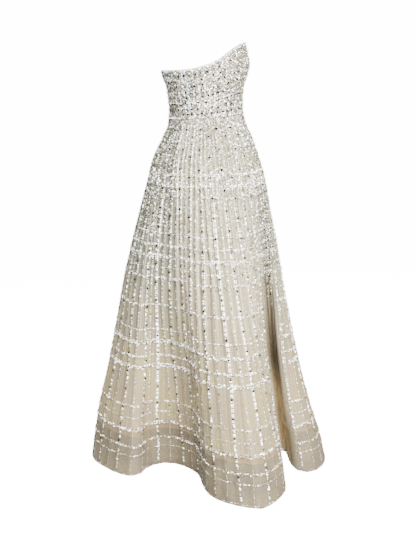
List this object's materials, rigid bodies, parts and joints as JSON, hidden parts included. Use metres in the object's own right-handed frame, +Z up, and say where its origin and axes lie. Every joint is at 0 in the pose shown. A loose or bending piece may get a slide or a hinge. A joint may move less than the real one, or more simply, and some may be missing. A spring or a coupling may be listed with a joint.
{
  "type": "strapless tulle maxi dress",
  "caption": "Strapless floor-length dress with a fitted sequinned bodice, a pleated beaded tulle skirt over satin and an open neckline and hem, filled out as worn.",
  "frame": {"origin": "middle of the waist, on the dress's own upright axis, where the wearer's waist holds it up", "axes": "+Z up from hem to neckline, -Y towards the front, -X towards the wearer's right side"},
  "size_m": [0.6963, 0.7163, 1.2355],
  "materials": {
    "sequinned_tulle": "dense pearly sequins in upright columns with small dark crystals",
    "beaded_tulle": "ivory tulle in fine pleats, with lines of white sequins and small dark crystals",
    "nude_satin": "glossy nude satin",
    "pale_braid": "narrow pale binding with small beads",
    "zip_tape": "ivory woven tape",
    "zip_slider": "ivory enamel"
  },
  "bodies": {
    "root": {"bodice_front": "sequinned_tulle", "bodice_back_right": "sequinned_tulle", "bodice_back_left": "sequinned_tulle", "skirt_front": "beaded_tulle", "skirt_back_right": "beaded_tulle", "skirt_back_left": "beaded_tulle", "skirt_lining": "nude_satin", "neck_binding": "pale_braid", "hem_edging": "pale_braid", "back_zip": "zip_tape", "zip_slider": "zip_slider"}
  },
  "joints": []
}
